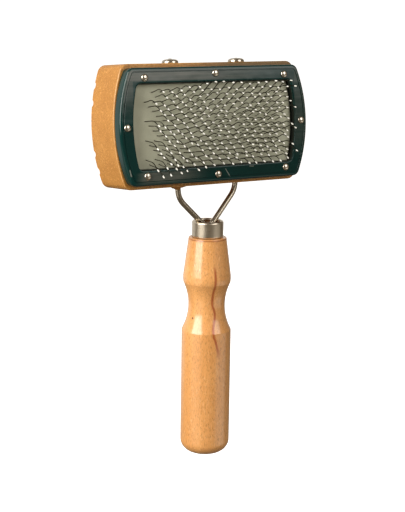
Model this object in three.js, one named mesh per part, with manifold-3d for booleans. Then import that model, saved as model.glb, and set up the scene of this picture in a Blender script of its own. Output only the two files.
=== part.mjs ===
// Slicker brush for grooming dogs: a turned wooden handle, a wire fork and a wooden head block
// that carries a rubber pad full of bent steel pins, held down by a plastic frame and eight tacks.
//
// Millimetres, +Z up. The handle stands on the Z axis with its butt on Z = 0, the pins point to -Y
// and the head is wide along X. The fork and the head lean back from the handle by HEAD_TILT.

import * as THREE from 'three';
import { mergeVertices } from 'three/addons/utils/BufferGeometryUtils.js';
import Module from 'manifold-3d';

const wasm = await Module();
wasm.setup();

// ---------------------------------------------------------------- driving dimensions

const GAP = 0.3;                       // clearance left between neighbours
const SPARE = 1;                       // how far a cutting solid runs past what it cuts
const OVERHANG = 6;                    // how far a blank's unwanted end lies outside the piece
const ARC_STEPS = 3;                   // half the straight pieces that an outline's arc is made of

// handle, turned from one piece of wood
const BUTT_FLAT_RADIUS = 6;            // the small flat at the very end
const BUTT_ROUND_HEIGHT = 7.5;
const GRIP_RADIUS = 14.3;
const GRIP_TOP = 74.3;                 // the sharp ring where the cove starts
const COVE_RADIUS = 31;                // finger cove above the grip
const COVE_MIDDLE = 89;
const COVE_WAIST = 10.6;
const BEAD_RADIUS = 13.9;              // swelling above the cove
const BEAD_START = 102.6;
const BEAD_CREST = 105.6;
const SHOULDER_RADIUS = 11;
const SHOULDER_TOP = 128.5;
const SHOULDER_ROUND = 0.8;
const TENON_RADIUS = 7.6;              // neck that the ferrule is pressed on
const TENON_TOP = 134.6;
const TANG_BORE_DEPTH = 48;
const COUNTERBORE_RADIUS = 5.6;        // dished end of the tenon, where the wires spread
const COUNTERBORE_DEPTH = 4.4;

// ferrule, a spun steel cup with its top edge rolled inwards
const FERRULE_RADIUS = 9;
const FERRULE_WALL = 0.7;
const FERRULE_TOP = 138;
const FERRULE_ROLL = 1.2;
const FERRULE_MOUTH_RADIUS = 7;
const FERRULE_LIP = { top: 0.3, edge: 1, root: 1.4 };  // the rolled lip, measured down from the top

// fork, two legs of round steel wire
const WIRE_RADIUS = 1.6;
const WIRE_SIDES = 8;
const TANG_SPREAD = 1.8;               // from the Z axis to each wire inside the handle
const TANG_END_GAP = 1.5;              // left empty at the bottom of the bore
const FORK_BEND = 3.2;                 // how far before and after a corner the wire starts to bend
const KNEE_BEND = 4.5;
const LEG_UNDERSIDE_SPREAD = 18.7;     // where they enter the block
const LEG_TOP_SPREAD = 21.5;           // where they come out on top
const KNEE_DROP_LEFT = 7.2;            // the left leg is bent a little lower than the right one
const KNEE_DROP_RIGHT = 4.2;
const LEG_HOLE_CLEARANCE = 0.4;
const PEEN_HEIGHT = 2.6;               // hammered end above the block's top

// washers under the hammered ends
const CAP_RADIUS = 4.6;
const CAP_HEIGHT = 2;
const CAP_RIM = 0.7;                   // height of its straight rim, below the dome

// head
const PIVOT_Z = 136.8;                 // the lean starts at the ferrule's mouth
const HEAD_TILT = THREE.MathUtils.degToRad(4.7);
const HEAD_RISE = 56;                  // from the pivot to the middle of the block
const BLOCK_WIDTH = 122.4;
const BLOCK_HEIGHT = 68;
const BLOCK_FRONT = -6.8;              // block's front face, measured from the plane of the legs
const BLOCK_BACK = 21.2;
const BLOCK_SAG = 6.4;                 // how far the short ends bow out
const BLOCK_CORNER = 5;
const BLOCK_FRONT_EDGE = 0.9;
const BLOCK_BACK_EDGE = 1.2;
const BACK_GROOVES = [-24.4, -14.7, 13.2, 22.9];
const GROOVE_RADIUS = 1.7;             // round bottom of a groove with straight sides
const GROOVE_DEPTH = 2.5;

// plastic frame
const FRAME_WIDTH = 121.2;
const FRAME_HEIGHT = 63.6;
const FRAME_SAG = 6.8;
const FRAME_CORNER = 4.2;
const CORNER_SHRINK = 0.6;             // an inset line's corner radius shrinks by this share of the inset
const FRAME_PROUD = 6.6;               // its lip in front of the block's face
const FRAME_EDGE = 1.4;
const OPENING_WIDTH = 104.8;
const OPENING_HEIGHT = 46.8;
const OPENING_SAG = 3;
const OPENING_CORNER = 3.2;
const BEAD_LINE_INSET = 2.1;           // fine line cut round the front, inside the rounded edge
const BEAD_LINE_WIDTH = 0.5;
const BEAD_LINE_DEPTH = 0.4;
const REBATE = 2.4;                    // step under the lip that clamps the pad

// layers under the pins, as distances in front of the block's face
const POCKET_DEPTH = 3.8;
const FELT = { back: -3.5, front: -0.9 };
const CROWNS = { back: -0.6, front: 0 };
const CANVAS = { back: 0.3, front: 0.7 };
const RUBBER = { back: 1, front: 2.1 };
const PAD_OVERLAP = 2;                 // how far the sheets reach under the lip
const POCKET_INSET = 1;
const FELT_INSET = 2;

// pins
const PIN_ROWS = 16;
const PINS_PER_ROW = 16;
const PIN_PITCH = 5.5;                 // along a row
const ROW_PITCH = 2.57;
const ROWS_MIDDLE = -1;                // the rows sit a little below the middle of the block
const ROW_STEP = 2.4;                  // sideways step from row to row
const STEP_PERIOD = 4;                 // after four rows the sideways step starts again
const FIRST_PIN_X = -43.4;
const PIN_RADIUS = 0.3;
const PIN_SIDES = 3;
const SHANK_LENGTH = 8.8;              // from the rubber's face to the knee
const POINT_FORWARD = 5.8;             // from the knee to the point, out from the pad
const POINT_DROP = 3.5;                // and down towards the handle
const FAN_UP = 0.22;                   // slope that the shanks gain from the middle row to the pad's edge
const LIFT_LEFT = 0.01;                // slope upwards at the left end and over the rest of the pad
const LIFT_RIGHT = 0.31;
const LIFT_FROM = -0.7;                // where it changes, as shares of half the pad's width
const LIFT_TO = -0.1;
const CROWN_HEIGHT = 0.8;
const CROWN_END = 0.8;                 // crown beyond the end pins
const SLOT_HEIGHT = 1.7;
const SLOT_END = 1.5;                  // slot beyond the end pins

// tacks
const TACK_HEAD_RADIUS = 2.1;
const TACK_HEAD_HEIGHT = 1.1;
const TACK_RIM = 0.3;
const TACK_SHANK_RADIUS = 0.8;
const TACK_LENGTH = 15;
const TACK_POINT = 3;
const TACK_HOLE_RADIUS = 1.1;
const TACK_HOLE_SPARE = 0.6;           // hole beyond the tack's point
const TACKS = {
  top_left: [-45, 26.4],
  top_middle: [-0.6, 28],
  top_right: [45, 26.4],
  left_end: [-56.3, 0],
  right_end: [56.3, 0],
  bottom_left: [-45, -26.4],
  bottom_middle: [-0.4, -27.7],
  bottom_right: [45, -26.4],
};

// ---------------------------------------------------------------- materials

const metal = (color, roughness) => new THREE.MeshStandardMaterial({ color, roughness, metalness: 1 });
const matter = (color, roughness) => new THREE.MeshStandardMaterial({ color, roughness, metalness: 0 });

const lacqueredWood = matter(0xd99045, 0.2);
const blockWood = matter(0xb98a55, 0.45);
const greenPlastic = matter(0x0b3a38, 0.15);
const greyRubber = matter(0x99927f, 0.7);
const canvasCloth = matter(0xb7ab90, 0.9);
const greyFelt = matter(0x8b857a, 0.95);
const nickelSteel = metal(0xb9b2a4, 0.2);
const pinSteel = metal(0xc9c6be, 0.25);

// ---------------------------------------------------------------- solids

function toSolid(geometry) {
  const bare = geometry.index ? geometry.toNonIndexed() : geometry.clone();
  bare.deleteAttribute('normal');
  bare.deleteAttribute('uv');
  const merged = mergeVertices(bare, 1e-4);
  return new wasm.Manifold(new wasm.Mesh({
    numProp: 3,
    vertProperties: new Float32Array(merged.attributes.position.array),
    triVerts: new Uint32Array(merged.index.array),
  }));
}

function toGeometry(solid) {
  const { vertProperties, triVerts } = solid.getMesh();
  const geometry = new THREE.BufferGeometry();
  geometry.setAttribute('position', new THREE.BufferAttribute(new Float32Array(vertProperties), 3));
  geometry.setIndex(new THREE.BufferAttribute(new Uint32Array(triVerts), 1));
  geometry.computeVertexNormals();
  return geometry;
}

function cut(solid, tools) {
  return tools.reduce((left, tool) => left.subtract(tool), solid);
}

function named(name, shape, material) {
  const geometry = shape instanceof THREE.BufferGeometry ? shape : toGeometry(shape);
  const mesh = new THREE.Mesh(geometry, material);
  mesh.name = name;
  return mesh;
}

// A rectangle with round corners whose two short ends bow outwards as arcs.
function bowedOutline(width, height, sag, corner) {
  const half = height / 2;
  const bow = (half * half + sag * sag) / (2 * sag);
  const bowCentre = width / 2 - bow;
  const cornerY = half - corner;
  const cornerX = bowCentre + Math.sqrt((bow - corner) ** 2 - cornerY ** 2);
  const swing = Math.atan2(cornerY, cornerX - bowCentre);
  const outline = new THREE.Shape();
  outline.moveTo(-cornerX, -half);
  outline.lineTo(cornerX, -half);
  outline.absarc(cornerX, -cornerY, corner, -Math.PI / 2, -swing, false);
  outline.absarc(bowCentre, 0, bow, -swing, swing, false);
  outline.absarc(cornerX, cornerY, corner, swing, Math.PI / 2, false);
  outline.lineTo(-cornerX, half);
  outline.absarc(-cornerX, cornerY, corner, Math.PI / 2, Math.PI - swing, false);
  outline.absarc(-bowCentre, 0, bow, Math.PI - swing, Math.PI + swing, false);
  outline.absarc(-cornerX, -cornerY, corner, Math.PI + swing, 1.5 * Math.PI, false);
  return withoutRepeats(outline.getPoints(ARC_STEPS));
}

// Where an arc meets the next stretch its end point comes twice; a bevel needs it once.
function withoutRepeats(points) {
  const apart = (a, b) => a.distanceTo(b) > 1e-6;
  return new THREE.Shape(points.filter((point, i) => apart(point, points.at(i - 1))));
}

// An outline drawn in X and Z, filled from Y = back to Y = front, with its edges rounded by `edge`.
function slab(outline, back, front, edge = 0) {
  const geometry = new THREE.ExtrudeGeometry(outline, {
    depth: back - front - 2 * edge,
    bevelEnabled: edge > 0,
    bevelThickness: edge,
    bevelSize: edge,
    bevelOffset: -edge,
    bevelSegments: 3,
  });
  geometry.translate(0, 0, edge);
  geometry.rotateX(Math.PI / 2);
  geometry.translate(0, back, HEAD_RISE);
  return geometry;
}

// A round rod between two points.
function rod(from, to, radius, sides = 12) {
  const along = new THREE.Vector3().subVectors(to, from);
  const geometry = new THREE.CylinderGeometry(radius, radius, along.length(), sides);
  const ownAxis = new THREE.Vector3(0, 1, 0);
  geometry.applyQuaternion(new THREE.Quaternion().setFromUnitVectors(ownAxis, along.normalize()));
  geometry.translate(...new THREE.Vector3().addVectors(from, to).multiplyScalar(0.5));
  return geometry;
}

// A line through corner points; a sweep along it has one section at each corner.
class CornerLine extends THREE.Curve {
  constructor(corners) {
    super();
    this.corners = corners;
  }

  getPoint(t) {
    const stretches = this.corners.length - 1;
    const first = Math.min(Math.floor(t * stretches), stretches - 1);
    return this.corners[first].clone().lerp(this.corners[first + 1], t * stretches - first);
  }

  getPointAt(u) {
    return this.getPoint(u);
  }

  getTangentAt(u) {
    return this.getTangent(u);
  }
}

// A wire of `sides` sides swept through corner points.
function wire(corners, radius, sides) {
  const section = new THREE.Shape(Array.from({ length: sides }, (_, k) => {
    const angle = (2 * Math.PI * k) / sides;
    return new THREE.Vector2(radius * Math.cos(angle), radius * Math.sin(angle));
  }));
  return new THREE.ExtrudeGeometry(section, {
    steps: corners.length - 1,
    extrudePath: new CornerLine(corners),
  });
}

// A profile of [radius, height] points turned round the Z axis.
function turned(profile, sides) {
  const points = profile.map(([radius, height]) => new THREE.Vector2(radius, height));
  const geometry = new THREE.LatheGeometry(points, sides);
  geometry.rotateX(Math.PI / 2);
  return geometry;
}

function arcPoints(steps, point) {
  return Array.from({ length: steps + 1 }, (_, i) => point(i / steps));
}

const leanBack = new THREE.Matrix4()
  .makeTranslation(0, 0, PIVOT_Z)
  .multiply(new THREE.Matrix4().makeRotationX(-HEAD_TILT));

// ---------------------------------------------------------------- handle and ferrule

function handle() {
  const butt = arcPoints(4, (t) => {
    const angle = (t * Math.PI) / 2;
    return [
      BUTT_FLAT_RADIUS + (GRIP_RADIUS - BUTT_FLAT_RADIUS) * Math.sin(angle),
      BUTT_ROUND_HEIGHT * (1 - Math.cos(angle)),
    ];
  });
  const cove = arcPoints(9, (t) => {
    const height = GRIP_TOP + t * (BEAD_START - GRIP_TOP);
    const rise = COVE_RADIUS - Math.sqrt(COVE_RADIUS ** 2 - (height - COVE_MIDDLE) ** 2);
    return [COVE_WAIST + rise, height];
  });
  const shoulder = arcPoints(2, (t) => [
    SHOULDER_RADIUS - SHOULDER_ROUND * (1 - Math.cos((t * Math.PI) / 2)),
    SHOULDER_TOP - SHOULDER_ROUND * (1 - Math.sin((t * Math.PI) / 2)),
  ]);
  const profile = [
    [0, 0],
    ...butt,
    ...cove,
    [BEAD_RADIUS, BEAD_CREST],
    ...shoulder,
    [TENON_RADIUS, SHOULDER_TOP],
    [TENON_RADIUS, TENON_TOP],
    [0, TENON_TOP],
  ];
  const tangBore = [-1, 1].map((side) => toSolid(rod(
    new THREE.Vector3(side * TANG_SPREAD, 0, TENON_TOP - TANG_BORE_DEPTH),
    new THREE.Vector3(side * TANG_SPREAD, 0, TENON_TOP + SPARE),
    WIRE_RADIUS + LEG_HOLE_CLEARANCE,
  )));
  const counterbore = toSolid(rod(
    new THREE.Vector3(0, 0, TENON_TOP - COUNTERBORE_DEPTH),
    new THREE.Vector3(0, 0, TENON_TOP + SPARE),
    COUNTERBORE_RADIUS,
    16,
  ));
  return named('handle', cut(toSolid(turned(profile, 24)), [...tangBore, counterbore]), lacqueredWood);
}

function ferrule() {
  const inside = FERRULE_RADIUS - FERRULE_WALL;
  const bottom = SHOULDER_TOP + GAP;
  const outerRoll = arcPoints(2, (t) => [
    FERRULE_RADIUS - FERRULE_ROLL * (1 - Math.cos((t * Math.PI) / 2)),
    FERRULE_TOP - FERRULE_ROLL * (1 - Math.sin((t * Math.PI) / 2)),
  ]);
  const profile = [
    [inside, bottom],
    [FERRULE_RADIUS, bottom],
    ...outerRoll,
    [FERRULE_MOUTH_RADIUS, FERRULE_TOP - FERRULE_LIP.top],
    [FERRULE_MOUTH_RADIUS, FERRULE_TOP - FERRULE_LIP.edge],
    [inside, FERRULE_TOP - FERRULE_LIP.root],
    [inside, bottom],
  ];
  return named('ferrule', turned(profile, 20), nickelSteel);
}

// ---------------------------------------------------------------- fork

// The stretch of a leg inside the head, in the head's own leaning frame.
function legPoint(side, heightOnBlock) {
  const t = (heightOnBlock + BLOCK_HEIGHT / 2) / BLOCK_HEIGHT;
  const spread = THREE.MathUtils.lerp(LEG_UNDERSIDE_SPREAD, LEG_TOP_SPREAD, t);
  return new THREE.Vector3(side * spread, 0, HEAD_RISE + heightOnBlock);
}

function forkLeg(name, side, kneeDrop) {
  const top = BLOCK_HEIGHT / 2;
  const lean = (point) => point.applyMatrix4(leanBack);
  const hole = legPoint(side, -top);
  const corners = [
    new THREE.Vector3(side * TANG_SPREAD, 0, TENON_TOP - TANG_BORE_DEPTH + TANG_END_GAP),
    new THREE.Vector3(side * TANG_SPREAD, 0, TENON_TOP),
    lean(new THREE.Vector3(hole.x, 0, hole.z - kneeDrop)),
    lean(legPoint(side, top + PEEN_HEIGHT)),
  ];
  const bends = [0, FORK_BEND, KNEE_BEND, 0];
  return named(name, wire(withRoundBends(corners, bends), WIRE_RADIUS, WIRE_SIDES), nickelSteel);
}

// Replaces each inner corner of a line by points on a bend that starts and ends that far from it.
function withRoundBends(corners, bends) {
  const steps = 4;
  return corners.flatMap((corner, i) => {
    if (bends[i] === 0) return [corner];
    const step = (other) => new THREE.Vector3().subVectors(other, corner).setLength(bends[i]);
    const start = step(corners[i - 1]).add(corner);
    const end = step(corners[i + 1]).add(corner);
    return new THREE.QuadraticBezierCurve3(start, corner, end).getPoints(steps);
  });
}

// ---------------------------------------------------------------- head block and its washers

function legHoles() {
  return [-1, 1].map((side) => toSolid(rod(
    legPoint(side, -BLOCK_HEIGHT / 2 - OVERHANG),
    legPoint(side, BLOCK_HEIGHT / 2 + OVERHANG),
    WIRE_RADIUS + LEG_HOLE_CLEARANCE,
  )));
}

function tackHoles() {
  return Object.values(TACKS).map(([x, z]) => toSolid(rod(
    new THREE.Vector3(x, BLOCK_FRONT - FRAME_PROUD - SPARE, HEAD_RISE + z),
    new THREE.Vector3(x, BLOCK_FRONT - FRAME_PROUD + TACK_LENGTH + TACK_HOLE_SPARE, HEAD_RISE + z),
    TACK_HOLE_RADIUS,
    8,
  )));
}

function openingOutline(grow) {
  return bowedOutline(
    OPENING_WIDTH + 2 * grow,
    OPENING_HEIGHT + 2 * grow,
    OPENING_SAG,
    OPENING_CORNER,
  );
}

// A long U-shaped bar that cuts one groove across the back at height z.
function grooveCutter(z) {
  const middle = GROOVE_RADIUS - GROOVE_DEPTH;
  const section = new THREE.Shape();
  section.moveTo(-GROOVE_RADIUS, SPARE);
  section.lineTo(-GROOVE_RADIUS, middle);
  section.absarc(0, middle, GROOVE_RADIUS, Math.PI, 2 * Math.PI, false);
  section.lineTo(GROOVE_RADIUS, SPARE);
  const bar = new THREE.ExtrudeGeometry(withoutRepeats(section.getPoints(ARC_STEPS)), {
    depth: 2 * BLOCK_WIDTH,
    bevelEnabled: false,
  });
  bar.translate(0, 0, -BLOCK_WIDTH);
  bar.rotateY(Math.PI / 2);
  bar.translate(0, BLOCK_BACK, HEAD_RISE + z);
  return toSolid(bar);
}

function headBlock() {
  const outline = bowedOutline(BLOCK_WIDTH, BLOCK_HEIGHT, BLOCK_SAG, BLOCK_CORNER);
  const frontRounded = toSolid(slab(outline, BLOCK_BACK + OVERHANG, BLOCK_FRONT, BLOCK_FRONT_EDGE));
  const backRounded = toSolid(slab(outline, BLOCK_BACK, BLOCK_FRONT - OVERHANG, BLOCK_BACK_EDGE));
  const pocketOutline = openingOutline(-POCKET_INSET);
  const pocket = toSolid(slab(pocketOutline, BLOCK_FRONT + POCKET_DEPTH, BLOCK_FRONT - SPARE));
  const grooves = BACK_GROOVES.map(grooveCutter);
  const blank = frontRounded.intersect(backRounded);
  return named('head_block', cut(blank, [pocket, ...grooves, ...legHoles(), ...tackHoles()]), blockWood);
}

// A cupped washer with the wire's hammered end showing in its middle.
function capWasher(name, side) {
  const bore = WIRE_RADIUS + LEG_HOLE_CLEARANCE;
  const dome = arcPoints(3, (t) => {
    const angle = (t * Math.PI) / 2;
    return [
      bore + (CAP_RADIUS - bore) * Math.cos(angle),
      CAP_RIM + (CAP_HEIGHT - CAP_RIM) * Math.sin(angle),
    ];
  });
  const profile = [[bore, 0], [CAP_RADIUS, 0], ...dome, [bore, 0]];
  const washer = named(name, turned(profile, 16), nickelSteel);
  washer.position.copy(legPoint(side, BLOCK_HEIGHT / 2)).add(new THREE.Vector3(0, 0, GAP));
  return washer;
}

// ---------------------------------------------------------------- frame

function plasticFrame() {
  const front = BLOCK_FRONT - FRAME_PROUD;
  const back = BLOCK_FRONT - GAP;
  const outer = (inset) => bowedOutline(
    FRAME_WIDTH - 2 * inset,
    FRAME_HEIGHT - 2 * inset,
    FRAME_SAG,
    FRAME_CORNER - CORNER_SHRINK * inset,
  );
  const lineInner = BEAD_LINE_INSET + BEAD_LINE_WIDTH;
  const rounded = toSolid(slab(outer(0), back + OVERHANG, front, FRAME_EDGE));
  const behind = toSolid(slab(outer(-OVERHANG), back + OVERHANG + SPARE, back));
  const line = toSolid(slab(outer(BEAD_LINE_INSET), front + BEAD_LINE_DEPTH, front - SPARE))
    .subtract(toSolid(slab(outer(lineInner), front + SPARE, front - 2 * SPARE)));
  const window = toSolid(slab(openingOutline(0), back + SPARE, front - SPARE));
  const rebateTop = BLOCK_FRONT - RUBBER.front - GAP;
  const rebate = toSolid(slab(openingOutline(REBATE), back + SPARE, rebateTop));
  return named('frame', cut(rounded, [behind, line, window, rebate, ...tackHoles()]), greenPlastic);
}

// ---------------------------------------------------------------- pad and pins

function pinX(row, i) {
  const step = (row + 2) % STEP_PERIOD;
  return FIRST_PIN_X + step * ROW_STEP + i * PIN_PITCH;
}

function rowZ(row) {
  return HEAD_RISE + ROWS_MIDDLE + ((PIN_ROWS - 1) / 2 - row) * ROW_PITCH;
}

function sheet(layer, grow) {
  return toSolid(slab(openingOutline(grow), BLOCK_FRONT - layer.back, BLOCK_FRONT - layer.front));
}

function middleOfRow(row) {
  return (pinX(row, 0) + pinX(row, PINS_PER_ROW - 1)) / 2;
}

// One narrow slot for each row of pins.
function pinSlots(layer) {
  const length = (PINS_PER_ROW - 1) * PIN_PITCH + 2 * SLOT_END;
  const depth = layer.front - layer.back + 2 * SPARE;
  const middle = BLOCK_FRONT - (layer.back + layer.front) / 2;
  return Array.from({ length: PIN_ROWS }, (_, row) => {
    const slot = new THREE.BoxGeometry(length, depth, SLOT_HEIGHT);
    slot.translate(middleOfRow(row), middle, rowZ(row));
    return toSolid(slot);
  });
}

// How the shanks lean: the rubber's face is slightly crowned, so the upper rows point further up,
// and in use the pins have been pushed upwards everywhere but at the left end.
function shankSlope(x, z) {
  const alongRow = x / (OPENING_WIDTH / 2);
  const acrossRows = (z - HEAD_RISE) / (OPENING_HEIGHT / 2);
  const lifted = THREE.MathUtils.smoothstep(alongRow, LIFT_FROM, LIFT_TO);
  return FAN_UP * acrossRows + THREE.MathUtils.lerp(LIFT_LEFT, LIFT_RIGHT, lifted);
}

// A pin goes straight through the middle of the sheets at (x, z), from the crown to its knee.
function pin(x, z) {
  const upwards = shankSlope(x, z);
  const pierced = (CANVAS.back + RUBBER.front) / 2;
  const along = (inFrontOfBlock, drop = 0) => {
    const forward = inFrontOfBlock - pierced;
    return new THREE.Vector3(x, BLOCK_FRONT - inFrontOfBlock, z + forward * upwards - drop);
  };
  const knee = RUBBER.front + SHANK_LENGTH;
  const corners = [
    along((CROWNS.back + CROWNS.front) / 2),
    along(knee),
    along(knee + POINT_FORWARD, POINT_DROP),
  ];
  return wire(corners, PIN_RADIUS, PIN_SIDES);
}

// A row of pins joined behind the canvas, as staples are by their crowns.
function pinRow(row) {
  const z = rowZ(row);
  const xs = Array.from({ length: PINS_PER_ROW }, (_, i) => pinX(row, i));
  const crown = new THREE.BoxGeometry(
    (PINS_PER_ROW - 1) * PIN_PITCH + 2 * CROWN_END,
    CROWNS.front - CROWNS.back,
    CROWN_HEIGHT,
  );
  crown.translate(middleOfRow(row), BLOCK_FRONT - (CROWNS.back + CROWNS.front) / 2, z);
  const solid = xs.reduce((comb, x) => comb.add(toSolid(pin(x, z))), toSolid(crown));
  return named(`pin_row_${String(row + 1).padStart(2, '0')}`, solid, pinSteel);
}

// ---------------------------------------------------------------- tacks

function tack(name, [x, z]) {
  const dome = arcPoints(2, (t) => {
    const angle = (t * Math.PI) / 2;
    return [
      TACK_HEAD_RADIUS * Math.cos(angle),
      TACK_RIM + (TACK_HEAD_HEIGHT - TACK_RIM) * Math.sin(angle),
    ];
  });
  const profile = [
    [0, -TACK_LENGTH],
    [TACK_SHANK_RADIUS, TACK_POINT - TACK_LENGTH],
    [TACK_SHANK_RADIUS, 0],
    [TACK_HEAD_RADIUS, 0],
    ...dome,
  ];
  const geometry = turned(profile, 10);
  geometry.rotateX(Math.PI / 2);
  const mesh = named(`tack_${name}`, geometry, nickelSteel);
  mesh.position.set(x, BLOCK_FRONT - FRAME_PROUD - GAP, HEAD_RISE + z);
  return mesh;
}

// ---------------------------------------------------------------- assembly

const head = new THREE.Group();
head.position.z = PIVOT_Z;
head.rotation.x = -HEAD_TILT;
head.add(
  headBlock(),
  plasticFrame(),
  named('felt_underlay', sheet(FELT, -FELT_INSET), greyFelt),
  named('canvas_backing', cut(sheet(CANVAS, PAD_OVERLAP), pinSlots(CANVAS)), canvasCloth),
  named('rubber_pad', cut(sheet(RUBBER, PAD_OVERLAP), pinSlots(RUBBER)), greyRubber),
  capWasher('cap_washer_left', -1),
  capWasher('cap_washer_right', 1),
);
for (let row = 0; row < PIN_ROWS; row += 1) {
  head.add(pinRow(row));
}
for (const [name, place] of Object.entries(TACKS)) {
  head.add(tack(name, place));
}

const brush = new THREE.Group();
brush.add(
  handle(),
  ferrule(),
  forkLeg('fork_leg_left', -1, KNEE_DROP_LEFT),
  forkLeg('fork_leg_right', 1, KNEE_DROP_RIGHT),
  head,
);

export default brush;
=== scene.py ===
# A slicker brush: turned handle, wire fork, and a wooden head whose rubber pad is full of bent pins.
# Lengths are millimetres in this script and become metres where a mesh is made. The head's pieces are
# built in the head's own frame, which leans back from the handle: X along the block, Y from front to
# back, Z up from the block's middle.
import math
import random

import bmesh
import bpy
from mathutils import Matrix, Vector, kdtree, noise

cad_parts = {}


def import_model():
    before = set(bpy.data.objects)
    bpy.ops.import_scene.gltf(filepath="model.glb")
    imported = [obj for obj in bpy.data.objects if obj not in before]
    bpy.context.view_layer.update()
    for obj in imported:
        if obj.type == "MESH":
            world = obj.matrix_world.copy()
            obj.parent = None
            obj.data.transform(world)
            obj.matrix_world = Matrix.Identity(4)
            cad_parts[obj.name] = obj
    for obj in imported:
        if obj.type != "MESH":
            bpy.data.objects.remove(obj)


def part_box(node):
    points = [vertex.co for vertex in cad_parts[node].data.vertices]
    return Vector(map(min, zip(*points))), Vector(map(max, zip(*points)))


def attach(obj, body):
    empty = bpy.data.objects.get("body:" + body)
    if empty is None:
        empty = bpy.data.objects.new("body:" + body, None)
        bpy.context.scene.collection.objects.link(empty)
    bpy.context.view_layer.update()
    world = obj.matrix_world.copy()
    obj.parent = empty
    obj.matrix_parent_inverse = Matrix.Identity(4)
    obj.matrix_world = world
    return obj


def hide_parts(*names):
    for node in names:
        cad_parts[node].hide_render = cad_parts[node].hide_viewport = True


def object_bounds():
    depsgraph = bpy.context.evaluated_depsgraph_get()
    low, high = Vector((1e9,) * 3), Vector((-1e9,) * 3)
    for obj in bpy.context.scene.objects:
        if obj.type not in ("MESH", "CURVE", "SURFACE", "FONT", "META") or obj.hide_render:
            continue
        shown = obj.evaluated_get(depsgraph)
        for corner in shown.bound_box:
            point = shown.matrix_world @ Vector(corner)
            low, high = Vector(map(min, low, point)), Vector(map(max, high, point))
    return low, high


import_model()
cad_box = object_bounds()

MM = 0.001

# ---------------------------------------------------------------- driving dimensions, as in the CAD

BUTT_FLAT_RADIUS = 6
BUTT_ROUND_HEIGHT = 7.5
GRIP_TOP = 74.3
COVE_RADIUS = 31
COVE_MIDDLE = 89
COVE_WAIST = 10.6
BEAD_START = 102.6
BEAD_CREST = 105.6
BEAD_RADIUS = 13.9
TAPER_START = BEAD_CREST + 4
TAPER_RADIUS = 13.36
SHOULDER_RADIUS = 11
SHOULDER_TOP = 128.5
SHOULDER_ROUND = 0.8
TAPER_END = SHOULDER_TOP - 1
TENON_RADIUS = 7.6
COUNTERBORE_RADIUS = 5.6
COUNTERBORE_DEPTH = 4.4

FERRULE_WALL = 0.7
FERRULE_MOUTH_RADIUS = 7
FERRULE_ROLL = 1.15

WIRE_RADIUS = 1.6
TANG_SPREAD = 1.8
LEG_UNDERSIDE_SPREAD = 18.7
LEG_TOP_SPREAD = 21.5
KNEE_DROP = {"left": 7.2, "right": 4.2}
LEG_BENDS = (3.2, 4.5)
PEEN_HEIGHT = {"left": 2.6, "right": 2.4}
PEEN_ROUND = 0.8
CAP_RADIUS = 4.6
CAP_HEIGHT = 2.2
CAP_RIM = 0.8

PIVOT_Z = 136.8
HEAD_TILT = math.radians(4.7)
HEAD_RISE = 56
BLOCK_WIDTH = 122.4
BLOCK_HEIGHT = 68
BLOCK_FRONT = -6.8
BLOCK_BACK = 21.2
BLOCK_SAG = 6.4
BLOCK_CORNER = 5
BLOCK_FRONT_EDGE = 0.9
BLOCK_BACK_EDGE = 1.2
BACK_GROOVES = (-24.4, -14.7, 13.2, 22.9)
GROOVE_RADIUS = 1.7
GROOVE_DEPTH = 2.5
POCKET_FLOOR = BLOCK_FRONT + 3.8
POCKET_INSET = 1        # inside the frame's opening, all round

FRAME_WIDTH = 121.2
FRAME_HEIGHT = 63.6
FRAME_SAG = 6.8
FRAME_CORNER = 4.2
FRAME_FRONT = BLOCK_FRONT - 6.6
FRAME_BACK = BLOCK_FRONT - 0.3
FRAME_EDGE = 1.4
OPENING_WIDTH = 104.8
OPENING_HEIGHT = 46.8
OPENING_SAG = 3
OPENING_CORNER = 3.2
LIP_EDGE = 0.5
LINE_INSET = 2.1
LINE_WIDTH = 0.5
LINE_DEPTH = 0.4
REBATE = 2.4

FELT = (BLOCK_FRONT + 3.5, BLOCK_FRONT + 0.9)      # the back and the front of each layer
FELT_INSET = 2
CANVAS = (BLOCK_FRONT - 0.3, BLOCK_FRONT - 0.7)
RUBBER = (BLOCK_FRONT - 1, BLOCK_FRONT - 2.1)
PAD_OVERLAP = 2
PAD_CROWN = 1.1

PIN_ROWS = 16
PINS_PER_ROW = 16
PIN_PITCH = 5.5
ROW_PITCH = 2.57
ROWS_MIDDLE = -1
ROW_STEP = 2.4
STEP_PERIOD = 4
FIRST_PIN_X = -43.4
PIN_RADIUS = 0.26
PIN_SIDES = 8
SHANK_LENGTH = 8.8
KNEE_BEND = 2
POINT_FORWARD = 5.8
POINT_DROP = 3.5
FAN_UP = 0.22
LIFT_LEFT = 0.01
LIFT_RIGHT = 0.31
LIFT_FROM = -0.7
LIFT_TO = -0.1

TACK_RADIUS = 2.05
TACK_HEIGHT = 1.35
TACK_RIM = 0.22
TACK_SHANK_RADIUS = 0.8
TACK_SHANK_LENGTH = 6
TACKS = {
    "top_left": (-45, 26.4),
    "top_middle": (-0.6, 28),
    "top_right": (45, 26.4),
    "left_end": (-56.3, 0),
    "right_end": (56.3, 0),
    "bottom_left": (-45, -26.4),
    "bottom_middle": (-0.4, -27.7),
    "bottom_right": (45, -26.4),
}

head_to_row = Matrix.Translation((0, 0, PIVOT_Z)) @ Matrix.Rotation(-HEAD_TILT, 4, "X")
head_to_row = head_to_row @ Matrix.Translation((0, 0, HEAD_RISE))


# ---------------------------------------------------------------- mesh tools

def steps(first, last, count):
    """count + 1 even values from first to last."""
    return [first + (last - first) * i / count for i in range(count + 1)]


def smoothstep(value, low, high):
    share = min(1, max(0, (value - low) / (high - low)))
    return share * share * (3 - 2 * share)


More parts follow.
